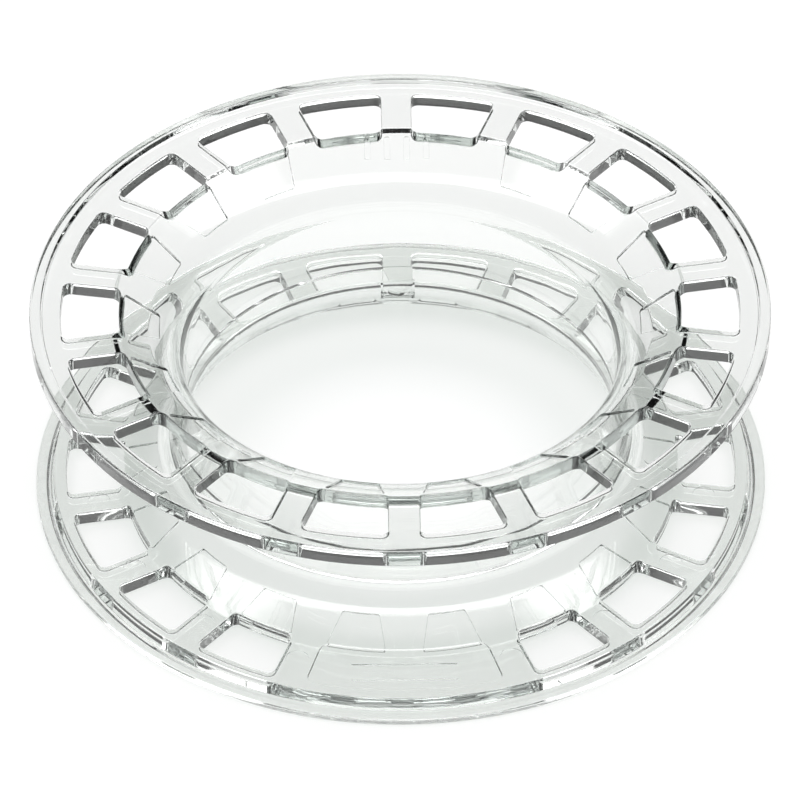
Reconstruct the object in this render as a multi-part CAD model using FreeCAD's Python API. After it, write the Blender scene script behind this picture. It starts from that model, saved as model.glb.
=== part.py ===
# Clear line cassette: a wide flanged ring that holds fishing line and slips over a reel's
# spool core. Two polycarbonate mouldings push together at a lapped joint in the hub:
#   lower_half  flange with a writing recess, bell mouth, hub wall with a thin inner spigot
#   upper_half  flange with tally bars, bell mouth, hub wall with an outer skirt and a tongue
# Origin: on the axis, in the plane that the lower bead stands on.
# +Z: the cassette's axis. -Y: the writing recess.
import FreeCAD, Part
import math
import os

V = FreeCAD.Vector

# ---- driving dimensions, mm ----
RIM_R = 42.5            # both flanges
HEIGHT = 26.25          # over the beads on the two rims
FLANGE_T = 2.16         # from a rim's bead to the flange's inner face
BEAD = 0.43             # the outer faces lie this far below the bead round the rim
BEAD_R = 41.15          # middle of the bead's inner flank
BEAD_FLANK = 0.15       # half of the flank's width
THROAT_R = 25.0         # straight bore through the hub
HUB_WALL = 1.8          # wall of the hub and of the bell mouth
BELL_R = 6.4            # bore-side radius between bore and cone
BELL_DEPTH = 8.17       # from a bead to where the bore turns straight
CONE_DEG = 26.0         # slope of the bell mouth's outer part
EDGE_R = 0.25           # broken outer edges of the rims

LIP_T = 0.78            # lower rim's thin lip
LIP_R = 40.84           # foot of the step behind the lip
STEP_R = 40.34          # top of that step

PITCH_COUNT = 18        # windows, spokes and pads share one pitch
WINDOW_IN = 32.27
WINDOW_OUT = 38.93
SPOKE_W = 3.6
WINDOW_CORNER = 0.8

PAD_IN = 27.7           # shallow pads on the bell mouth, one inside each window
PAD_OUT = 31.8
PAD_IN_DEG = 4.3        # half angles at the two ends
PAD_OUT_DEG = 6.2
PAD_DEPTH = 0.35

SEAM_BORE_Z = 10.6      # joint line in the bore
SEAM_HUB_Z = 7.4        # joint line on the outside of the hub
LAP_R = 25.85           # outside of the spigot
LAP_CLEAR = 0.05        # radial running fit in the lap
SEAT_CLEAR = 0.05       # axial gap at the two joint lines
TONGUE_W = 3.5
TONGUE_Z = 6.35         # lowest point of the tongue's round end
TONGUE_BACK_R = 25.70   # its outer face
SLOT_W = 4.0            # square-ended slot that the tongue drops into
SLOT_END_CLEAR = 0.65   # under the tongue's round end
SLOT_BACK_R = 26.05     # back of the slot where it runs on below the spigot

LABEL_DEG = 16.8        # half angle of the writing recess
LABEL_DEPTH = 0.25
LABEL_CORNER = 1.0
MARK_R = 35.6           # ejector-pin marks, on the lower half's inner face
MARK_DIA = 2.6
MARK_DEPTH = 0.05
MARK_DEGS = (-80, -60, -40, -20, 20, 40, 60, 80)   # from the front

BAR_COUNT = 4           # raised tally bars that stand for the size
BAR_W = 0.7
BAR_IN = 28.9
BAR_LEN = 2.9
BAR_PITCH = 2.3
BAR_RISE = 0.25
BAR_ROOT = 0.6          # how far a bar's block reaches into the cone
RULE_LEN = 12.0         # raised writing lines in the recess
RULE_W = 0.3
RULE_RISE = 0.12
RULE_Y = (-34.3, -36.9)
RULE_ROOT = 0.05
OVERCUT = 1.0           # how far a cutter runs past the face that it opens
PAD_OVERRUN = 0.3       # how far the pads' ring runs past their ends

# ---- derived ----
CONE = math.radians(CONE_DEG)
BELL_CX = THROAT_R + BELL_R
TURN = math.radians(90.0 - CONE_DEG)       # arc between bore and cone
OUTER_ARC_R = BELL_R - HUB_WALL
PITCH_DEG = 360.0 / PITCH_COUNT
INNER_FACE_Z = HEIGHT - FLANGE_T           # underside of the upper flange


def bell_point(radius, angle):
    """Point (r, depth) on a bell arc; angle 0 is where it meets the straight wall."""
    return BELL_CX - radius * math.cos(angle), BELL_DEPTH - radius * math.sin(angle)


def crease_r():
    """Where the cone meets the outer face."""
    r, depth = bell_point(BELL_R, TURN)
    return r + (depth - BEAD) / math.tan(CONE)


def inner_crease_r():
    """Where the cone's other side meets the flange's inner face."""
    r, depth = bell_point(OUTER_ARC_R, TURN)
    return r + (depth - FLANGE_T) / math.tan(CONE)


def face_and_bead():
    """Outer face from the cone to the edge of the rim, as (r, depth)."""
    flank = [(BEAD_R - BEAD_FLANK, BEAD), (BEAD_R + BEAD_FLANK, 0)]
    return [(crease_r(), BEAD)] + flank + [(RIM_R, 0)]


def line(a, b):
    return Part.LineSegment(V(a[0], 0, a[1]), V(b[0], 0, b[1])).toShape()


def arc(a, m, b):
    return Part.Arc(V(a[0], 0, a[1]), V(m[0], 0, m[1]), V(b[0], 0, b[1])).toShape()


def revolve(edges):
    face = Part.Face(Part.Wire(edges))
    solid = face.revolve(V(0, 0, 0), V(0, 0, 1), 360)
    return Part.Solid(Part.Shell(solid.Faces)) if solid.ShapeType != "Solid" else solid


def hub_arc_angle(depth):
    """Angle on the hub's outer arc that lies at this depth."""
    return math.asin((BELL_DEPTH - depth) / OUTER_ARC_R)


def lower_body():
    bore_top = (THROAT_R, SEAM_BORE_Z - SEAT_CLEAR)
    bore_foot = bell_point(BELL_R, 0)
    bore_mid = bell_point(BELL_R, TURN / 2)
    bore_end = bell_point(BELL_R, TURN)
    seam = hub_arc_angle(SEAM_HUB_Z - SEAT_CLEAR)
    hub_top = bell_point(OUTER_ARC_R, seam)
    hub_mid = bell_point(OUTER_ARC_R, (seam + TURN) / 2)
    hub_end = bell_point(OUTER_ARC_R, TURN)
    corner = (LAP_R, hub_top[1])
    points = [bore_end] + face_and_bead() + [(RIM_R, LIP_T), (LIP_R, LIP_T)]
    points += [(STEP_R, FLANGE_T), (inner_crease_r(), FLANGE_T), hub_end]
    edges = [line(bore_top, bore_foot), arc(bore_foot, bore_mid, bore_end)]
    edges += [line(a, b) for a, b in zip(points, points[1:])]
    edges += [arc(hub_end, hub_mid, hub_top), line(hub_top, corner)]
    edges += [line(corner, (LAP_R, bore_top[1])), line((LAP_R, bore_top[1]), bore_top)]
    return revolve(edges)


def flipped(point):
    return point[0], HEIGHT - point[1]


def upper_body():
    skirt_r = LAP_R + LAP_CLEAR
    bore_foot = flipped(bell_point(BELL_R, 0))
    bore_mid = flipped(bell_point(BELL_R, TURN / 2))
    bore_end = flipped(bell_point(BELL_R, TURN))
    hub_top = flipped(bell_point(OUTER_ARC_R, 0))
    hub_mid = flipped(bell_point(OUTER_ARC_R, TURN / 2))
    hub_end = flipped(bell_point(OUTER_ARC_R, TURN))
    seam = hub_arc_angle(SEAM_HUB_Z)
    skirt_foot = bell_point(OUTER_ARC_R, seam)
    skirt_mid = bell_point(OUTER_ARC_R, seam / 2)
    skirt_top = bell_point(OUTER_ARC_R, 0)
    points = [bore_end] + [flipped(p) for p in face_and_bead()]
    points += [(RIM_R, INNER_FACE_Z), (inner_crease_r(), INNER_FACE_Z), hub_end]
    ledge = [skirt_foot, (skirt_r, SEAM_HUB_Z), (skirt_r, SEAM_BORE_Z)]
    ledge += [(THROAT_R, SEAM_BORE_Z), bore_foot]
    edges = [arc(bore_foot, bore_mid, bore_end)]
    edges += [line(a, b) for a, b in zip(points, points[1:])]
    edges += [arc(hub_end, hub_mid, hub_top), line(hub_top, skirt_top)]
    edges += [arc(skirt_top, skirt_mid, skirt_foot)]
    edges += [line(a, b) for a, b in zip(ledge, ledge[1:])]
    return revolve(edges)


def break_rim_edges(body):
    """Rounds the full circles at the rim."""
    rim = [e for e in body.Edges if is_rim_circle(e)]
    return body.makeFillet(EDGE_R, rim)


def is_rim_circle(edge):
    if not hasattr(edge.Curve, "Radius"):
        return False
    return abs(edge.Curve.Radius - RIM_R) < 0.01


def ring_sector(r_in, r_out, half_deg, z, height):
    """Upright sector of a ring, centred on the front (-Y)."""
    outer = Part.makeCylinder(r_out, height, V(0, 0, z), V(0, 0, 1), 2 * half_deg)
    inner = Part.makeCylinder(r_in, height + 2 * OVERCUT, V(0, 0, z - OVERCUT))
    sector = outer.cut(inner)
    sector.rotate(V(0, 0, 0), V(0, 0, 1), -90 - half_deg)
    return sector


def turned(shape, degrees):
    copy = shape.copy()
    copy.rotate(V(0, 0, 0), V(0, 0, 1), degrees)
    return copy


def upright_edges(solid):
    return [e for e in solid.Edges if is_upright(e)]


def is_upright(edge):
    a, b = edge.Vertexes[0].Point, edge.Vertexes[-1].Point
    return abs(a.x - b.x) < 1e-6 and abs(a.y - b.y) < 1e-6 and abs(a.z - b.z) > 1e-3


def spoke_block(z, height):
    return Part.makeBox(SPOKE_W, RIM_R, height, V(-SPOKE_W / 2, -RIM_R, z))


def window_cutter(z, height):
    """One window, centred on the front, with parallel spokes beside it."""
    sector = ring_sector(WINDOW_IN, WINDOW_OUT, PITCH_DEG / 2, z, height)
    for side in (-1, 1):
        spoke = spoke_block(z - OVERCUT, height + 2 * OVERCUT)
        sector = sector.cut(turned(spoke, side * PITCH_DEG / 2))
    solid = sector.Solids[0]
    return solid.makeFillet(WINDOW_CORNER, upright_edges(solid))


def window_angles():
    return [PITCH_DEG * (i + 0.5) for i in range(PITCH_COUNT)]


def flanks(angle, centre):
    """True for the two windows on either side of a centre."""
    off = (angle - centre + 180) % 360 - 180
    return abs(off) < PITCH_DEG


def pad_wedge():
    """Plan outline of a pad as a tall prism, centred on the front."""
    inner, outer = math.radians(PAD_IN_DEG), math.radians(PAD_OUT_DEG)
    ends = [(PAD_IN, -inner), (PAD_IN, inner), (PAD_OUT, outer), (PAD_OUT, -outer)]
    corners = [V(r * math.sin(a), -r * math.cos(a), -OVERCUT) for r, a in ends]
    wire = Part.makePolygon(corners + corners[:1])
    return Part.Face(wire).extrude(V(0, 0, HEIGHT))


def skin_depth(r):
    """Depth of the bell mouth's surface below the bead."""
    tangent_r = bell_point(BELL_R, TURN)[0]
    if r > tangent_r:
        return BEAD + (crease_r() - r) * math.tan(CONE)
    return BELL_DEPTH - math.sqrt(BELL_R ** 2 - (BELL_CX - r) ** 2)


def pad_band():
    """Ring whose section is the pads' recess, in the lower half."""
    tangent_r = bell_point(BELL_R, TURN)[0]
    start, end = PAD_IN - PAD_OVERRUN, PAD_OUT + PAD_OVERRUN
    radii = [start, (start + tangent_r) / 2, tangent_r, end]
    floor = [(r, skin_depth(r) + PAD_DEPTH) for r in radii]
    edges = [arc(floor[0], floor[1], floor[2]), line(floor[2], floor[3])]
    edges += [line(floor[3], (end, -OVERCUT)), line((end, -OVERCUT), (start, -OVERCUT))]
    edges += [line((start, -OVERCUT), floor[0])]
    return revolve(edges)


def mirrored(shape):
    return shape.mirror(V(0, 0, HEIGHT / 2), V(0, 0, 1))


def cut_windows_and_pads(body, upper):
    pad = pad_band().common(pad_wedge())
    pad = mirrored(pad) if upper else pad
    plate = INNER_FACE_Z if upper else 0
    window = window_cutter(plate - OVERCUT, FLANGE_T + 2 * OVERCUT)
    cutters = []
    for angle in window_angles():
        if upper or not flanks(angle, 0):
            cutters.append(turned(window, angle))
        if not (upper and flanks(angle, 180)):
            cutters.append(turned(pad, angle))
    return body.cut(cutters)


def label_cutter():
    top = FLANGE_T - LABEL_DEPTH
    sector = ring_sector(WINDOW_IN, WINDOW_OUT, LABEL_DEG, top, LABEL_DEPTH + OVERCUT)
    return sector.makeFillet(LABEL_CORNER, upright_edges(sector))


def rule_lines():
    z = FLANGE_T - LABEL_DEPTH - RULE_ROOT
    height = RULE_RISE + RULE_ROOT
    corner = [V(-RULE_LEN / 2, y - RULE_W / 2, z) for y in RULE_Y]
    return [Part.makeBox(RULE_LEN, RULE_W, height, c) for c in corner]


def ejector_marks():
    mark = Part.makeCylinder(MARK_DIA / 2, OVERCUT, V(0, -MARK_R, FLANGE_T - MARK_DEPTH))
    return [turned(mark, angle) for angle in MARK_DEGS]


def wall_band(r_in, r_out):
    return Part.makeCylinder(r_out, HEIGHT).cut(Part.makeCylinder(r_in, HEIGHT))


def back_block(width, z, top_z):
    """Upright block through the hub wall at the back (+Y)."""
    return Part.makeBox(width, BELL_R, top_z - z, V(-width / 2, THROAT_R - HUB_WALL, z))


def make_tongue():
    """Key with a half-round lower end, as thick as the spigot that it drops into."""
    radius = TONGUE_W / 2
    block = back_block(TONGUE_W, TONGUE_Z + radius, SEAM_BORE_Z + OVERCUT)
    centre = V(0, THROAT_R - HUB_WALL, TONGUE_Z + radius)
    end = Part.makeCylinder(radius, BELL_R, centre, V(0, 1, 0))
    return block.fuse(end).common(wall_band(THROAT_R, TONGUE_BACK_R))


def make_slot():
    block = back_block(SLOT_W, TONGUE_Z - SLOT_END_CLEAR, SEAM_BORE_Z + OVERCUT)
    return block.common(wall_band(THROAT_R - OVERCUT, SLOT_BACK_R))


def tally_bars():
    """Short raised bars on the upper cone at the back."""
    lean = math.degrees(CONE)
    depth = skin_depth(BAR_IN)
    bars = []
    for i in range(BAR_COUNT):
        x = (i - (BAR_COUNT - 1) / 2) * BAR_PITCH
        foot = V(x - BAR_W / 2, BAR_IN, -BAR_ROOT)
        bar = Part.makeBox(BAR_W, BAR_LEN, BAR_ROOT + BAR_RISE, foot)
        bar.rotate(V(0, BAR_IN, 0), V(1, 0, 0), lean)
        bar.translate(V(0, 0, HEIGHT - depth))
        bars.append(bar)
    return bars


def make_lower_half():
    body = cut_windows_and_pads(break_rim_edges(lower_body()), upper=False)
    body = body.cut([label_cutter()] + ejector_marks())
    return body.fuse(rule_lines()).cut(make_slot())


def make_upper_half():
    body = cut_windows_and_pads(break_rim_edges(upper_body()), upper=True)
    return body.fuse([make_tongue()] + tally_bars())


def save(shape, node):
    shape = shape.removeSplitter()
    solids = shape.Solids
    print(node, "solids", len(solids), "valid", shape.isValid(), "volume", round(shape.Volume, 1))
    solids[0].exportStep("parts/" + node + ".step")
    return solids[0]


os.makedirs("parts", exist_ok=True)
lower = save(make_lower_half(), "lower_half")
upper = save(make_upper_half(), "upper_half")
print("overlap", round(lower.common(upper).Volume, 4), "box", upper.fuse(lower).BoundBox)
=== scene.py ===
# Clear line cassette: two injection-moulded polycarbonate halves that push together at a lapped
# joint in the hub. Sizes are millimetres, and a finished mesh is stored in metres.
import math

import bmesh
import bpy
import numpy as np
from mathutils import Matrix, Vector
from mathutils.geometry import delaunay_2d_cdt


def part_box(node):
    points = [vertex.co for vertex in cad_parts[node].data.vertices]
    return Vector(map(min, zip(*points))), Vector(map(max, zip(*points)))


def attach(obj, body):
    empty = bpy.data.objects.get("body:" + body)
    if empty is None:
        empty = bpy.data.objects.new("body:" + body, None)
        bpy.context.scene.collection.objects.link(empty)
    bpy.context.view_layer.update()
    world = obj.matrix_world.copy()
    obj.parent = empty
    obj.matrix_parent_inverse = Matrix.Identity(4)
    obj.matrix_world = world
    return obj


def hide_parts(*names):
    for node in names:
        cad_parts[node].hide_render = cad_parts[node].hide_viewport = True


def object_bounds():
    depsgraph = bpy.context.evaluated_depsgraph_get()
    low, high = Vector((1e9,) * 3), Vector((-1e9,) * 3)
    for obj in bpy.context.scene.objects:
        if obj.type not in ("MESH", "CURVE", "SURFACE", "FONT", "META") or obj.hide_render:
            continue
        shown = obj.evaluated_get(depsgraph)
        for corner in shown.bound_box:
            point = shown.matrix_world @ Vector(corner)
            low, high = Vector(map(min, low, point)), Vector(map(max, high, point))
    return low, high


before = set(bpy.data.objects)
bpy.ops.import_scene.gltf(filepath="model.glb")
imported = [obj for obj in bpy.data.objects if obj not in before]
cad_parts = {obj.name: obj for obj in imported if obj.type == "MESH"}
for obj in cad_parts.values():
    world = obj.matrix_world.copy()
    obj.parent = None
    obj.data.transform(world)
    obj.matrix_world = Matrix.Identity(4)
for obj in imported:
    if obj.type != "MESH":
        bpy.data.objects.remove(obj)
cad_low, cad_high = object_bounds()
# a default scene's own objects are no part of the cassette
for leftover in ("Cube", "Light", "Camera"):
    if leftover in bpy.data.objects:
        bpy.data.objects.remove(bpy.data.objects[leftover])


# ---------------------------------------------------------------- lower half
# A windowed flange, a bell mouth with shallow pads, and a short hub wall with a thin spigot.
# One polycarbonate shot: a writing recess takes the place of two windows, the rim steps down to a
# thin lip, and ejector pins have left eight faint rounds on the inner face.
MM = 0.001
low_corner, high_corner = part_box("lower_half")
RIM_R = (high_corner.x - low_corner.x) / 2 / MM
HEIGHT = cad_high.z / MM
PLATE = 2.16
BORE_R = 25.0
WALL = 1.8
BELL_R = 6.4
BELL_DEPTH = 8.17
CONE = math.radians(26.0)
TURN = math.pi / 2 - CONE
HUB_ARC_R = BELL_R - WALL
ARC_CENTRE = (BORE_R + BELL_R, BELL_DEPTH)
BEAD, BEAD_R, BEAD_FLANK = 0.43, 41.15, 0.15      # raised bead round the rim, and its inner flank
LIP, LIP_R, STEP_R = 0.78, 40.84, 40.34
SEAM_HUB, SEAM_BORE = 7.4, 10.6
SPIGOT_R = 25.85
SEAT = 0.05                 # gap at the two joint lines and in the lap

PITCH = 20.0                # degrees from window to window
SPOKE_PART = 2.25           # half of the spoke's share of a pitch, degrees
WINDOW_IN, WINDOW_OUT = 32.27, 38.93
SPOKE_W = 3.6
WINDOW_CORNER = 0.8
WINDOW_EDGE = 0.2           # rounding where a window meets a face
PAD_IN, PAD_OUT = 27.7, 31.8
PAD_IN_DEG, PAD_OUT_DEG = 4.3, 6.2
PAD_DEPTH, PAD_CORNER = 0.35, 0.3
LABEL_DEG, LABEL_DEPTH, LABEL_CORNER = 16.8, 0.25, 1.0
RULES = ((34.3, 12.0), (36.9, 12.0))        # radius and length of the raised writing lines
RULE_W, RULE_RISE = 0.3, 0.12
MARK_R, MARK_DIA, MARK_DEPTH = 35.6, 2.6, 0.05

PAD_ZONE = 31.95            # radii where a flange's tiles meet
WINDOW_ZONE = 39.4
HUB_ZONE = 31.8
UNROLL = 34.0               # radius at which a tile is laid out flat
FACING = 0.3                # how far along the axis a skin's normal has to point
CLEAR_OF = 0.22             # a tile's free points stay this far from its outlines
SHARP = 0.62                # cosine past which a corner takes its face's own normal
WELD = 0.002                # points closer than this are joined


def rounded(corners):
    """Closed outline with rounded corners, as rows of x, y and the outward normal.

    A corner is (x, y, radius, steps). The outline runs with its inside on the left.
    """
    rows = []
    for i, (x, y, radius, steps) in enumerate(corners):
        here = np.array((x, y))
        run_in = here - np.array(corners[i - 1][:2])
        run_out = np.array(corners[(i + 1) % len(corners)][:2]) - here
        run_in /= np.linalg.norm(run_in)
        run_out /= np.linalg.norm(run_out)
        bend = math.atan2(run_in[0] * run_out[1] - run_in[1] * run_out[0], run_in @ run_out)
        side = 1 if bend > 0 else -1
        first = np.array((run_in[1], -run_in[0]))
        centre = here - run_in * radius * math.tan(abs(bend) / 2) - side * radius * first
        for k in range(steps + 1):
            turn = bend * k / max(steps, 1)
            c, s = math.cos(turn), math.sin(turn)
            normal = np.array((c * first[0] - s * first[1], s * first[0] + c * first[1]))
            rows.append((*(centre + side * radius * normal), *normal))
    return np.array(rows)


def cone_depth(r, wall=0.0):
    """Depth of the cone below the rim's bead, or of its other side if a wall is given."""
    radius = BELL_R - wall
    tangent = (ARC_CENTRE[0] - radius * math.cos(TURN), ARC_CENTRE[1] - radius * math.sin(TURN))
    return tangent[1] - (r - tangent[0]) * math.tan(CONE)


CREASE_R = BORE_R + (cone_depth(BORE_R) - BEAD) / math.tan(CONE)
INNER_CREASE_R = BORE_R + (cone_depth(BORE_R, WALL) - PLATE) / math.tan(CONE)


def outer_skin_corners():
    """Corners of the outer skin, from the bore to the rim, as radius and depth."""
    return [(BORE_R, cone_depth(BORE_R), BELL_R, 26), (PAD_ZONE, cone_depth(PAD_ZONE), 0, 0),
            (CREASE_R, BEAD, 0.6, 4), (WINDOW_ZONE, BEAD, 0, 0),
            (BEAD_R - BEAD_FLANK, BEAD, 0.15, 3), (BEAD_R + BEAD_FLANK, 0, 0.15, 3),
            (RIM_R, 0, 0.25, 5)]


def inner_skin_corners():
    """Corners of the flange's inner face, from the rim to the hub."""
    return [(WINDOW_ZONE, PLATE, 0, 0), (INNER_CREASE_R, PLATE, 0.5, 4),
            (HUB_ZONE, cone_depth(HUB_ZONE, WALL), 0, 0)]


def hub_arc_corner(first):
    """Where the cone's far side would meet the hub wall's tangent at an angle of the arc."""
    reach = HUB_ARC_R / math.cos((TURN - first) / 2)
    middle = (TURN + first) / 2
    return ARC_CENTRE[0] - reach * math.cos(middle), ARC_CENTRE[1] - reach * math.sin(middle)


def lower_section():
    depth = SEAM_HUB - SEAT
    first = math.asin((BELL_DEPTH - depth) / HUB_ARC_R) + 0.03
    run = (BELL_DEPTH - HUB_ARC_R * math.sin(first) - depth) / math.cos(first)
    foot_r = ARC_CENTRE[0] - HUB_ARC_R * math.cos(first) + run * math.sin(first)
    rim = [(RIM_R, LIP, 0.25, 5), (LIP_R, LIP, 0.10, 3), (STEP_R, PLATE, 0.12, 3)]
    hub = [(*hub_arc_corner(first), HUB_ARC_R, 16), (foot_r, depth, 0.08, 3)]
    spigot = [(SPIGOT_R, depth, 0.05, 2), (SPIGOT_R, SEAM_BORE - SEAT, 0.08, 3)]
    spigot += [(BORE_R, SEAM_BORE - SEAT, 0.08, 3)]
    return rounded(outer_skin_corners() + rim + inner_skin_corners() + hub + spigot)


def skin_of(section, side):
    """Depth and normal of a section's outer (-1) or inner (+1) skin, by radius."""
    facing = section[:, 3] * side > FACING
    near = facing & (section[:, 0] > BORE_R + 0.1) & (section[:, 0] < WINDOW_ZONE + 0.1)
    near &= (section[:, 1] < cone_depth(BORE_R, WALL) + 2)
    if side > 0:
        near &= section[:, 0] > HUB_ZONE - 0.1
    rows = section[near]
    rows = rows[np.argsort(rows[:, 0])]
    return lambda r: np.array([np.interp(r, rows[:, 0], rows[:, k]) for k in (1, 2, 3)]).T


def pitch_angles(middle, half_turn):
    """Angles of the facets' edges from half a turn before a middle to half a turn after it."""
    edges = []
    for i in range(-18, 19):
        spoke = i * PITCH + PITCH / 2
        edges += list(np.linspace(spoke - SPOKE_PART, spoke + SPOKE_PART, 5))
        edges += list(np.linspace(spoke + SPOKE_PART, spoke + PITCH - SPOKE_PART, 13))[1:-1]
    edges = np.array(edges)
    keep = (edges > middle - half_turn - 1e-6) & (edges < middle + half_turn + 1e-6)
    return np.radians(edges[keep] - middle)


def cell_outline(r_in, r_out, in_deg, out_deg, corner, steps=8):
    """Outline of a window, pad or label about the +X line: two arcs and two straight sides."""
    inner, outer = math.radians(in_deg), math.radians(out_deg)
    a = np.array((r_in * math.cos(inner), r_in * math.sin(inner)))
    b = np.array((r_out * math.cos(outer), r_out * math.sin(outer)))
    ends = []
    for radius, half in ((r_out, outer), (r_in, inner)):
        touch = half - 2.2 * corner / radius
        # where the side meets the tangent that leaves the end's arc
        normal = np.array((math.cos(touch), math.sin(touch)))
        along = (radius - a @ normal) / ((b - a) @ normal)
        ends.append((a + along * (b - a), radius / math.cos(touch)))
    (far, far_tip), (near, near_tip) = ends
    return rounded([(far_tip, 0, r_out, steps), (*far, corner, 5), (*near, corner, 5),
                    (near_tip, 0, r_in, steps), (near[0], -near[1], corner, 5),
                    (far[0], -far[1], corner, 5)])


def crossed(outline, levels, offset):
    """The outline with a point added wherever its offset crosses one of the radii."""
    rows = []
    for here, after in zip(outline, np.roll(outline, -1, axis=0)):
        rows.append(here)
        r = [math.hypot(*(p[:2] + p[2:] * offset)) for p in (here, after)]
        cuts = sorted((level - r[0]) / (r[1] - r[0]) for level in levels
                      if min(r) + 1e-3 < level < max(r) - 1e-3)
        for t in cuts:
            row = here * (1 - t) + after * t
            row[2:] /= np.linalg.norm(row[2:])
            rows.append(row)
    return np.array(rows)


def step_rings(outline, height, side, base=0.0, half=0.025):
    """Rings of a small moulded step on a skin: x, y, depth, lean and the way it leans."""
    lean = math.atan2(abs(height), 2 * half)
    rings = []
    for across, rise, tilt in ((1, 0, 0), (0.6, 0.1, 0.7), (0, 0.5, 1), (-0.6, 0.9, 0.7), (-1, 1, 0)):
        at = outline[:, :2] + outline[:, 2:] * half * across
        towards = side * np.sign(height) * outline[:, 2:]
        count = np.ones((len(at), 1))
        rings.append(np.hstack([at, count * (base + rise * height), count * lean * tilt, towards]))
    return rings


def inside(points, outline):
    """True where a point is inside a closed outline."""
    x, y = points[:, :1], points[:, 1:2]
    x0, y0 = outline[:, 0], outline[:, 1]
    x1, y1 = np.roll(x0, -1), np.roll(y0, -1)
    spans = (y0 > y) != (y1 > y)
    with np.errstate(divide="ignore", invalid="ignore"):
        hits = x < (x1 - x0) * (y - y0) / (y1 - y0) + x0
    return (spans & hits).sum(axis=1) % 2 == 1


def placed(points, skin):
    """Turns rows of x, y, depth, lean and its direction into places and normals."""
    r = np.hypot(points[:, 0], points[:, 1])
    depth, across, along = skin(r).T
    outward = points[:, :2] / r[:, None]
    flat = np.column_stack([outward * across[:, None], along])
    lean = points[:, 3:4]
    tilted = flat * np.cos(lean) + np.column_stack([points[:, 4:6], 0 * r]) * np.sin(lean)
    tilted /= np.linalg.norm(tilted, axis=1)[:, None]
    return np.column_stack([points[:, :2], depth + points[:, 2]]), tilted


def tile(skin, levels, angles, rings=(), floors=(), hole=None):
    """One stretch of a flange's skin, with steps on it and perhaps a hole through it."""
    rim = [(levels[0], a) for a in angles] + [(r, angles[-1]) for r in levels[1:-1]]
    rim += [(levels[-1], a) for a in angles[::-1]] + [(r, angles[0]) for r in levels[-2:0:-1]]
    rim = np.array([(r * math.cos(a), r * math.sin(a), 0, 0, 0, 0) for r, a in rim])
    loops = [rim] + list(rings)
    if hole is not None:
        loops.append(hole)
    fixed = np.vstack(loops)
    free = [(r * math.cos(a), r * math.sin(a), 0, 0, 0, 0) for r in levels[1:-1] for a in angles[1:-1]]
    if free:
        free = np.array(free)
        gap = np.linalg.norm(free[:, None, :2] - fixed[None, :, :2], axis=2).min(axis=1)
        free = free[gap > CLEAR_OF]
        if hole is not None:
            free = free[~inside(free, hole)]
        for outline, depth in floors:
            free[inside(free, outline), 2] += depth
        everything = np.vstack([fixed, free])
    else:
        everything = fixed
    flat = [Vector((math.atan2(p[1], p[0]) * UNROLL, math.hypot(p[0], p[1]))) for p in everything]
    edges, start = [], 0
    for loop in loops:
        size = len(loop)
        edges += [(start + i, start + (i + 1) % size) for i in range(size)]
        start += size
    out, _, faces, origin, _, _ = delaunay_2d_cdt(flat, edges, [], 0, 1e-6)
    if any(len(o) != 1 for o in origin):
        raise ValueError("a tile's outlines cross each other")
    back = [o[0] for o in origin]
    faces = np.array([[back[v] for v in f] for f in faces])
    if hole is not None:
        middles = everything[faces, :2].mean(axis=1)
        faces = faces[~inside(middles, hole)]
    places, normals = placed(everything, skin)
    return places, normals, faces


def joined(parts):
    """Several sets of places, normals and faces as one."""
    start, places, normals, faces = 0, [], [], []
    for p, n, f in parts:
        places.append(p)
        normals.append(n)
        faces += [[v + start for v in face] for face in f]
        start += len(p)
    return np.vstack(places), np.vstack(normals), faces


def window_tile(outer, inner, outer_levels, inner_levels):
    """Both skins around one window, and the window's rounded wall between them."""
    half = [math.degrees(math.asin(SPOKE_W / 2 / r)) for r in (WINDOW_IN, WINDOW_OUT)]
    outline = cell_outline(WINDOW_IN, WINDOW_OUT, PITCH / 2 - half[0], PITCH / 2 - half[1], WINDOW_CORNER)
    outline = crossed(outline, list(outer_levels[1:-1]) + list(inner_levels[1:-1]), WINDOW_EDGE)
    angles = pitch_angles(0, PITCH / 2 - SPOKE_PART)
    parts, wall = [], []
    for skin, levels, sign in ((outer, outer_levels, 1), (inner, inner_levels, -1)):
        loops = []
        for k in range(5):
            lean = k * math.pi / 8
            at = outline[:, :2] + outline[:, 2:] * WINDOW_EDGE * (1 - math.sin(lean))
            depth = sign * WINDOW_EDGE * (1 - math.cos(lean))
            one = np.ones((len(at), 1))
            loops.append(np.hstack([at, one * depth, one * lean, -outline[:, 2:]]))
        parts.append(tile(skin, levels, angles, hole=loops[0]))
        rings = [placed(loop, skin) for loop in loops]
        wall += rings if sign > 0 else rings[::-1]
    size = len(outline)
    faces = [[k * size + i, k * size + (i + 1) % size, (k + 1) * size + (i + 1) % size, (k + 1) * size + i]
             for k in range(len(wall) - 1) for i in range(size)]
    parts.append((np.vstack([w[0] for w in wall]), np.vstack([w[1] for w in wall]), faces))
    return joined(parts)


def pad_tile(skin, levels):
    outline = cell_outline(PAD_IN, PAD_OUT, PAD_IN_DEG, PAD_OUT_DEG, PAD_CORNER, 10)
    rings = step_rings(outline, PAD_DEPTH, -1, half=0.03)
    return tile(skin, levels, pitch_angles(0, PITCH / 2), rings, [(outline, PAD_DEPTH)])


def mark_tile(skin, levels):
    turn = np.linspace(0, 2 * math.pi, 28, endpoint=False)
    out = np.column_stack([np.cos(turn), np.sin(turn)])
    outline = np.hstack([out * MARK_DIA / 2 + (MARK_R, 0), out])
    rings = step_rings(outline, -MARK_DEPTH, 1, half=0.02)
    return tile(skin, levels, pitch_angles(PITCH / 2, SPOKE_PART), rings, [(outline, -MARK_DEPTH)])


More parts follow.
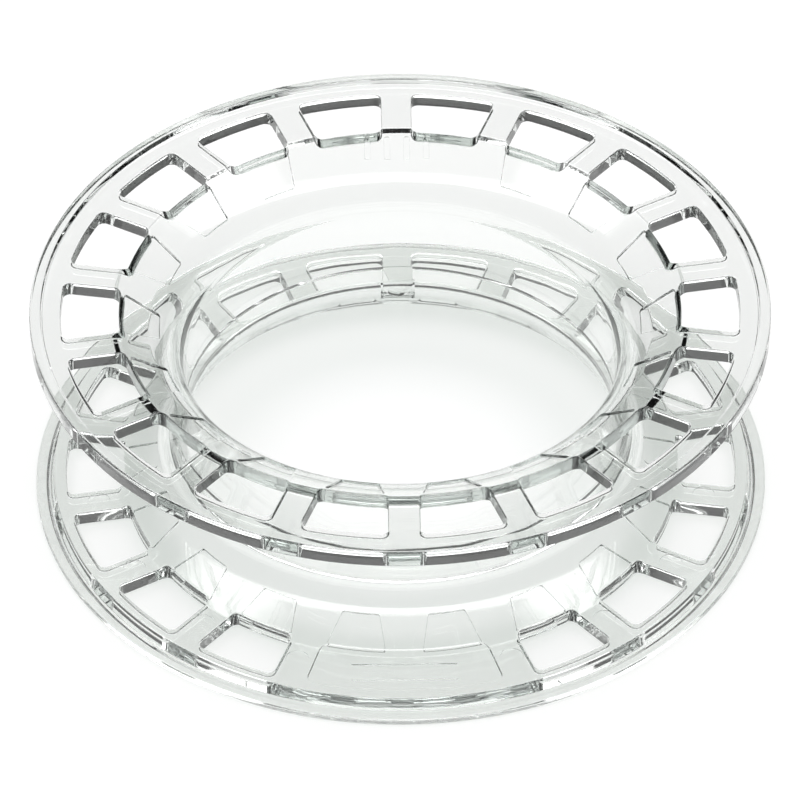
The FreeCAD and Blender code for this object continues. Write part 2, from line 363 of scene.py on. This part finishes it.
def label_tile(skin, levels):
    outline = cell_outline(WINDOW_IN + 0.25, WINDOW_OUT, LABEL_DEG, LABEL_DEG, LABEL_CORNER, 24)
    outline = crossed(outline, levels[1:-1], 0.06)
    rings = step_rings(outline, -LABEL_DEPTH, 1)
    for radius, length in RULES:
        x, y = radius + RULE_W / 2, length / 2
        x0 = radius - RULE_W / 2
        rule = rounded([(x, -y, 0.1, 2), (x, y, 0.1, 2), (x0, y, 0.1, 2), (x0, -y, 0.1, 2)])
        rings += step_rings(rule, RULE_RISE, 1, -LABEL_DEPTH, 0.03)
    floors = [(outline, -LABEL_DEPTH)]
    return tile(skin, levels, pitch_angles(PITCH / 2, PITCH - SPOKE_PART), rings, floors)


def lathe(section, bands):
    """The plain turned stretches of a section; bands are (side, r from, r to) left to tiles."""
    angles = pitch_angles(0, 180)[:-1] + math.radians(PITCH / 2)
    keep = []
    for i in range(len(section)):
        r, _, _, facing = (section[i] + section[(i + 1) % len(section)]) / 2
        tiled = any(r_from < r < r_to and facing * side > FACING for side, r_from, r_to in bands)
        if not tiled:
            keep.append(i)
    count = len(angles)
    spin = np.column_stack([np.cos(angles), np.sin(angles)])
    places = [np.column_stack([spin * r, np.full(count, d)]) for r, d, _, _ in section]
    normals = [np.column_stack([spin * n, np.full(count, m)]) for _, _, n, m in section]
    faces = []
    for i in keep:
        j = (i + 1) % len(section)
        faces += [[i * count + k, i * count + (k + 1) % count, j * count + (k + 1) % count, j * count + k]
                  for k in range(count)]
    return np.vstack(places), np.vstack(normals), faces


def add_node(tree, kind, settings, links):
    """Adds a node; links maps each input to a value or to another node's output."""
    node = tree.nodes.new(kind)
    for name, value in settings.items():
        setattr(node, name, value)
    for name, value in links.items():
        if isinstance(value, bpy.types.NodeSocket):
            tree.links.new(value, node.inputs[name])
        else:
            node.inputs[name].default_value = value
    return node


# Optical-grade polycarbonate from a polished mould: water-clear, with a faint cool cast where it
# is thick, a hard gloss, and a shallow flow ripple that only reflections show.
POLYCARBONATE_IOR = 1.585
DEPTH_TINT = "#dce6e2"
DEPTH_DENSITY = 20.0        # per metre, so that a plate stays clear and a long path greys
RIPPLE_MM = 7.0
POLISH_MM = 0.8             # mould polish, drawn coarse enough to show


def linear(hex_colour):
    """Linear RGBA of an sRGB hex colour."""
    channels = [int(hex_colour[i:i + 2], 16) / 255 for i in (1, 3, 5)]
    return [c / 12.92 if c <= 0.04045 else ((c + 0.055) / 1.055) ** 2.4 for c in channels] + [1]


polycarbonate = bpy.data.materials.new("clear_moulded_polycarbonate")
polycarbonate.use_nodes = True
look = polycarbonate.node_tree
look.nodes.clear()
place = add_node(look, "ShaderNodeTexCoord", {}, {}).outputs["Object"]
ripple = add_node(look, "ShaderNodeTexNoise", {},
                  {"Vector": place, "Scale": 1 / (RIPPLE_MM * MM), "Detail": 1.0})
polish = add_node(look, "ShaderNodeTexNoise", {},
                  {"Vector": place, "Scale": 1 / (POLISH_MM * MM), "Detail": 2.0})
waves = add_node(look, "ShaderNodeBump", {},
                 {"Height": ripple.outputs["Fac"], "Strength": 0.6, "Distance": 0.08 * MM})
haze = add_node(look, "ShaderNodeMapRange", {},
                {"Value": polish.outputs["Fac"], "To Min": 0.0, "To Max": 0.04})
gloss = add_node(look, "ShaderNodeBsdfPrincipled", {},
                 {"Base Color": linear("#fcfdfc"), "Transmission Weight": 1.0,
                  "IOR": POLYCARBONATE_IOR, "Roughness": haze.outputs["Result"],
                  "Normal": waves.outputs["Normal"]})
depth_tint = add_node(look, "ShaderNodeVolumeAbsorption", {},
                      {"Color": linear(DEPTH_TINT), "Density": DEPTH_DENSITY})
# a shortcut for shadows: light goes straight through, and dims more where it grazes a wall
glance = add_node(look, "ShaderNodeLayerWeight", {}, {"Blend": 0.5})
upright = add_node(look, "ShaderNodeMapRange", {},
                   {"Value": glance.outputs["Facing"], "From Min": 0.35, "From Max": 0.75})
shade = add_node(look, "ShaderNodeMix", {"data_type": "RGBA"},
                 {0: upright.outputs["Result"], 6: linear("#fdfefd"), 7: linear("#f1f3f2")})
thin = add_node(look, "ShaderNodeBsdfTransparent", {}, {"Color": shade.outputs[2]})
ray = add_node(look, "ShaderNodeLightPath", {}, {})
surface = add_node(look, "ShaderNodeMixShader", {},
                   {0: ray.outputs["Is Shadow Ray"], 1: gloss.outputs[0], 2: thin.outputs[0]})
add_node(look, "ShaderNodeOutputMaterial", {},
         {"Surface": surface.outputs[0], "Volume": depth_tint.outputs[0]})


# Repeats its own mesh about the Z axis. Each copy keeps the angle that it was turned by.
repeat = bpy.data.node_groups.new("tiles_about_the_axis", "GeometryNodeTree")
repeat.interface.new_socket("Geometry", in_out="INPUT", socket_type="NodeSocketGeometry")
tile_inputs = {"Count": "NodeSocketInt", "First angle": "NodeSocketFloat", "Pitch": "NodeSocketFloat",
               "Material": "NodeSocketMaterial"}
tile_sockets = {name: repeat.interface.new_socket(name, in_out="INPUT", socket_type=kind).identifier
                for name, kind in tile_inputs.items()}
repeat.interface.new_socket("Geometry", in_out="OUTPUT", socket_type="NodeSocketGeometry")
given = add_node(repeat, "NodeGroupInput", {}, {}).outputs
stations = add_node(repeat, "GeometryNodePoints", {}, {"Count": given["Count"]})
number = add_node(repeat, "GeometryNodeInputIndex", {}, {})
spacing = add_node(repeat, "ShaderNodeMath", {"operation": "MULTIPLY"},
                   {0: number.outputs[0], 1: given["Pitch"]})
angle = add_node(repeat, "ShaderNodeMath", {"operation": "ADD"},
                 {0: spacing.outputs[0], 1: given["First angle"]})
euler = add_node(repeat, "ShaderNodeCombineXYZ", {}, {"Z": angle.outputs[0]})
spin = add_node(repeat, "FunctionNodeEulerToRotation", {}, {"Euler": euler.outputs[0]})
noted = add_node(repeat, "GeometryNodeStoreNamedAttribute", {"domain": "POINT"},
                 {"Geometry": stations.outputs[0], "Name": "turned_by", "Value": angle.outputs[0]})
copies = add_node(repeat, "GeometryNodeInstanceOnPoints", {},
                  {"Points": noted.outputs[0], "Instance": given["Geometry"],
                   "Rotation": spin.outputs[0]})
real = add_node(repeat, "GeometryNodeRealizeInstances", {}, {"Geometry": copies.outputs[0]})
coated = add_node(repeat, "GeometryNodeSetMaterial", {},
                  {"Geometry": real.outputs[0], "Material": given["Material"]})
add_node(repeat, "NodeGroupOutput", {}, {"Geometry": coated.outputs[0]})


def plain_mesh(name, places, faces):
    mesh = bpy.data.meshes.new(name)
    mesh.from_pydata([tuple(p) for p in places], [], [list(f) for f in faces])
    return mesh


def evaluated(obj):
    """A plain mesh of an object with its modifiers applied; the object is removed."""
    bpy.context.view_layer.update()
    graph = bpy.context.evaluated_depsgraph_get()
    mesh = bpy.data.meshes.new_from_object(obj.evaluated_get(graph))
    bpy.data.objects.remove(obj)
    return mesh


def around(piece, count, first):
    """Copies of a tile about the axis, as places, normals and faces."""
    places, normals, faces = piece
    obj = bpy.data.objects.new("tile", plain_mesh("tile", places, faces))
    lie = obj.data.attributes.new("lie", "FLOAT_VECTOR", "POINT")
    lie.data.foreach_set("vector", normals.ravel())
    bpy.context.collection.objects.link(obj)
    modifier = obj.modifiers.new("repeat", "NODES")
    modifier.node_group = repeat
    values = {"Count": count, "First angle": math.radians(first), "Pitch": math.radians(PITCH),
              "Material": polycarbonate}
    for name, value in values.items():
        modifier[tile_sockets[name]] = value
    mesh = evaluated(obj)
    size = len(mesh.vertices)
    turned, lay, co = np.empty(size), np.empty(size * 3), np.empty(size * 3)
    mesh.attributes["turned_by"].data.foreach_get("value", turned)
    mesh.attributes["lie"].data.foreach_get("vector", lay)
    mesh.vertices.foreach_get("co", co)
    lay = lay.reshape(-1, 3)
    c, s = np.cos(turned), np.sin(turned)
    spun = np.column_stack([c * lay[:, 0] - s * lay[:, 1], s * lay[:, 0] + c * lay[:, 1], lay[:, 2]])
    return co.reshape(-1, 3), spun, [list(p.vertices) for p in mesh.polygons]


def levels_between(section, side, r_from, r_to, gap=0.9):
    """Radii of a skin's rows between two radii, with rows added where they are far apart."""
    radii = [r for r, _, _, facing in section if facing * side > FACING and r_from - 1e-6 < r < r_to + 1e-6]
    radii = sorted({round(r, 5): r for r in radii}.values())
    rows = radii[:1]
    for before, after in zip(radii, radii[1:]):
        extra = max(1, math.ceil((after - before) / gap))
        rows += list(np.linspace(before, after, extra + 1))[1:]
    return rows


def key_block(width, bottom, top, r_in, r_out, round_end):
    """Curved block through the hub wall at the back (+Y), square or half-round at its foot."""
    columns = np.sin(np.linspace(-math.pi / 2, math.pi / 2, 17)) * width / 2
    rise = width / 2 - np.sqrt(np.maximum(0, width ** 2 / 4 - columns ** 2)) if round_end else 0 * columns
    skins = []
    for radius in (r_in, r_out):
        y = np.sqrt(radius ** 2 - columns ** 2)
        foot = np.column_stack([columns, y, bottom + rise])
        head = np.column_stack([columns, y, np.full(17, top)])
        skins.append(np.vstack([foot, head]))
    faces = []
    for i in range(16):
        faces += [[i, i + 1, 18 + i, 17 + i], [35 + i, 34 + i, 51 + i, 52 + i]]
        faces += [[i + 1, i, 34 + i, 35 + i], [17 + i, 18 + i, 52 + i, 51 + i]]
    faces += [[0, 17, 51, 34], [33, 16, 50, 67]]
    obj = bpy.data.objects.new("key", plain_mesh("key", np.vstack(skins) * MM, faces))
    bpy.context.collection.objects.link(obj)
    return obj


def moulding(name, parts, key, operation, flip):
    """One closed, welded mesh of a half, with the tongue added or its slot cut."""
    places, normals, faces = joined(parts)
    if flip:
        places = places * (1, 1, -1) + (0, 0, HEIGHT)
        normals = normals * (1, 1, -1)
    # tiles are laid out about +X, and the front of the part is -Y
    places = np.column_stack([places[:, 1], -places[:, 0], places[:, 2]]) * MM
    normals = np.column_stack([normals[:, 1], -normals[:, 0], normals[:, 2]])
    mesh = plain_mesh(name, places, faces)
    lie = mesh.attributes.new("lie", "FLOAT_VECTOR", "POINT")
    lie.data.foreach_set("vector", normals.ravel())
    weld = bmesh.new()
    weld.from_mesh(mesh)
    bmesh.ops.remove_doubles(weld, verts=weld.verts, dist=WELD * MM)
    bmesh.ops.delete(weld, geom=[v for v in weld.verts if not v.link_faces], context="VERTS")
    bmesh.ops.recalc_face_normals(weld, faces=weld.faces)
    weld.to_mesh(mesh)
    weld.free()
    body = bpy.data.objects.new(name, mesh)
    bpy.context.collection.objects.link(body)
    fit = body.modifiers.new("key", "BOOLEAN")
    fit.operation = operation
    fit.solver = "EXACT"
    fit.object = key
    mesh = evaluated(body)
    bpy.data.objects.remove(key)
    mesh.materials.clear()
    mesh.materials.append(polycarbonate)
    return bpy.data.objects.new(name, settled(mesh))


def settled(mesh):
    """Gives each face corner the true normal of its surface, or its face's own at a sharp edge."""
    mesh.polygons.foreach_set("use_smooth", [True] * len(mesh.polygons))
    lie = np.empty(len(mesh.vertices) * 3)
    mesh.attributes["lie"].data.foreach_get("vector", lie)
    lie = lie.reshape(-1, 3)
    corners = []
    for face in mesh.polygons:
        flat = np.array(face.normal)
        for v in face.vertices:
            true = lie[v]
            corners.append(tuple(true) if true @ flat > SHARP else tuple(flat))
    mesh.normals_split_custom_set(corners)
    mesh.attributes.remove(mesh.attributes["lie"])
    return mesh


section = lower_section()
outer, inner = skin_of(section, -1), skin_of(section, 1)
bell_rows = section[(section[:, 3] < -FACING) & (section[:, 0] < PAD_IN - 0.4)]
pad_start = bell_rows[-1, 0]
pad_levels = levels_between(section, -1, pad_start, PAD_ZONE)
outer_levels = levels_between(section, -1, PAD_ZONE, WINDOW_ZONE, 4.0)
inner_levels = levels_between(section, 1, HUB_ZONE, WINDOW_ZONE, 4.0)
spoke = pitch_angles(PITCH / 2, SPOKE_PART)
pad = pad_tile(outer, pad_levels)
window = window_tile(outer, inner, outer_levels, inner_levels)
parts = [lathe(section, [(-1, pad_start, WINDOW_ZONE), (1, HUB_ZONE, WINDOW_ZONE)]),
         around(pad, 18, 10), around(window, 16, 30),
         around(tile(outer, outer_levels, spoke), 17, 20),
         around(tile(outer, outer_levels, pitch_angles(PITCH / 2, PITCH - SPOKE_PART)), 1, 0),
         around(tile(inner, inner_levels, spoke), 9, 100),
         around(mark_tile(inner, inner_levels), 4, 20),
         around(mark_tile(inner, inner_levels), 4, -80),
         around(label_tile(inner, inner_levels), 1, 0)]
TONGUE_W, TONGUE_FOOT = 3.5, 6.35
SLOT_W, SLOT_BACK, SLOT_ROOM = 4.0, 26.05, 0.65
slot = key_block(SLOT_W, TONGUE_FOOT - SLOT_ROOM, SEAM_BORE + 1, BORE_R - 1, SLOT_BACK, False)
lower = moulding("lower_half_shell", parts, slot, "DIFFERENCE", False)
bpy.context.collection.objects.link(lower)
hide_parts("lower_half")
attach(lower, "lower")


# ---------------------------------------------------------------- upper half
# The other moulding: all eighteen windows, sixteen pads, four raised tally bars for the size,
# and a skirt that pushes over the lower half's spigot with a tongue to line the two up.
BAR_COUNT, BAR_PITCH, BAR_W = 4, 2.3, 0.7
BAR_IN, BAR_OUT, BAR_RISE = 28.9, 31.5, 0.25
TONGUE_BACK = 25.7


def upper_section():
    foot, ledge = HEIGHT - SEAM_HUB, HEIGHT - SEAM_BORE
    flare_r = ARC_CENTRE[0] - math.sqrt(HUB_ARC_R ** 2 - (BELL_DEPTH - SEAM_HUB) ** 2)
    skirt = [(*hub_arc_corner(0), HUB_ARC_R, 16), (BORE_R + WALL, foot - 0.4, 3.6, 3)]
    skirt += [(flare_r, foot, 0.08, 3), (SPIGOT_R + SEAT, foot, 0.08, 3)]
    skirt += [(SPIGOT_R + SEAT, ledge, 0.05, 2), (BORE_R, ledge, 0.08, 3)]
    rim = [(RIM_R, PLATE, 0.25, 5)]
    return rounded(outer_skin_corners() + rim + inner_skin_corners() + skirt)


def bar_tile(skin, levels):
    rings, floors = [], []
    for i in range(BAR_COUNT):
        y = (i - (BAR_COUNT - 1) / 2) * BAR_PITCH
        low_y, high_y = y - BAR_W / 2, y + BAR_W / 2
        bar = rounded([(BAR_OUT, low_y, 0.2, 3), (BAR_OUT, high_y, 0.2, 3),
                       (BAR_IN, high_y, 0.2, 3), (BAR_IN, low_y, 0.2, 3)])
        rings += step_rings(bar, -BAR_RISE, -1)
        floors.append((bar, -BAR_RISE))
    return tile(skin, levels, pitch_angles(PITCH / 2, PITCH), rings, floors)


section = upper_section()
outer, inner = skin_of(section, -1), skin_of(section, 1)
parts = [lathe(section, [(-1, pad_start, WINDOW_ZONE), (1, HUB_ZONE, WINDOW_ZONE)]),
         around(pad_tile(outer, pad_levels), 16, -150), around(bar_tile(outer, pad_levels), 1, 180),
         around(window_tile(outer, inner, outer_levels, inner_levels), 18, 10),
         around(tile(outer, outer_levels, spoke), 18, 0),
         around(tile(inner, inner_levels, spoke), 18, 0)]
tongue = key_block(TONGUE_W, TONGUE_FOOT, SEAM_BORE + 1, BORE_R + 0.02, TONGUE_BACK, True)
upper = moulding("upper_half_shell", parts, tongue, "UNION", True)
bpy.context.collection.objects.link(upper)
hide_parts("upper_half")
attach(upper, "upper")


# ---------------------------------------------------------------- studio
# A white floor under a bright ring of light about 55 degrees up. Below the ring and overhead it is
# nearly dark, so that the clear edges have something dark to carry.
def plain_panel(name, corners, colour, roughness):
    obj = bpy.data.objects.new(name, plain_mesh(name, corners, [[0, 1, 2, 3]]))
    paint = bpy.data.materials.new(name)
    paint.use_nodes = True
    shader = paint.node_tree.nodes["Principled BSDF"]
    shader.inputs["Base Color"].default_value = linear(colour)
    shader.inputs["Roughness"].default_value = roughness
    obj.data.materials.append(paint)
    bpy.context.collection.objects.link(obj)
    return obj


FLOOR = 3.0
plain_panel("white_sweep", [(-FLOOR, -FLOOR, 0), (FLOOR, -FLOOR, 0), (FLOOR, FLOOR, 0), (-FLOOR, FLOOR, 0)],
            "#fbfbfb", 0.9)
HORIZON, SHOULDER, ZENITH, DOME = 0.006, 0.03, 0.08, 4.08       # brightness, from low to overhead
DARK_TO, FLANK, RING_FROM, RING_TO, CAP_FROM = 0.58, 0.73, 0.80, 0.89, 0.94     # sines of heights
world = bpy.data.worlds.new("studio")
world.use_nodes = True
sky = world.node_tree
heading = add_node(sky, "ShaderNodeTexCoord", {}, {})
height = add_node(sky, "ShaderNodeSeparateXYZ", {}, {"Vector": heading.outputs["Generated"]})
bands = add_node(sky, "ShaderNodeValToRGB", {}, {"Fac": height.outputs["Z"]})
stops = bands.color_ramp.elements
stops[0].position, stops[0].color = DARK_TO, (HORIZON,) * 3 + (1,)
stops[1].position, stops[1].color = RING_FROM, (1, 1, 1, 1)
shoulder = stops.new(FLANK)
shoulder.color = (SHOULDER,) * 3 + (1,)
top = stops.new(RING_TO)
top.color = (1, 1, 1, 1)
overhead = stops.new(CAP_FROM)
overhead.color = (ZENITH,) * 3 + (1,)
background = sky.nodes["Background"]
sky.links.new(bands.outputs["Color"], background.inputs["Color"])
background.inputs["Strength"].default_value = DOME
bpy.context.scene.world = world

# A long lens from the front, 40 degrees above the floor.
LENS, DISTANCE = 365.18, 0.93033
ELEVATION, AZIMUTH, ROLL = math.radians(40.245), math.radians(-0.6), -0.004
AIM_Z, AIM_SIDE = 0.01176, -0.00005
top_centre = Vector((0, 0, HEIGHT * MM))
camera = bpy.data.objects.new("camera", bpy.data.cameras.new("camera"))
camera.data.lens = LENS
camera.data.sensor_width = 36.0
camera.data.clip_start = 0.01
camera.location = top_centre + DISTANCE * Vector((math.cos(ELEVATION) * math.sin(AZIMUTH),
                                                  -math.cos(ELEVATION) * math.cos(AZIMUTH),
                                                  math.sin(ELEVATION)))
aim = Vector((AIM_SIDE, 0, AIM_Z))
level = (aim - camera.location).to_track_quat("-Z", "Y").to_matrix()
camera.rotation_euler = (level @ Matrix.Rotation(ROLL, 3, "Z")).to_euler()
bpy.context.collection.objects.link(camera)
bpy.context.scene.camera = camera

scene = bpy.context.scene
scene.view_settings.view_transform = "Standard"
scene.cycles.max_bounces = 32
scene.cycles.transmission_bounces = 32
scene.cycles.glossy_bounces = 12
scene.cycles.transparent_max_bounces = 16
scene.cycles.caustics_reflective = False
scene.cycles.caustics_refractive = False

bpy.context.view_layer.update()
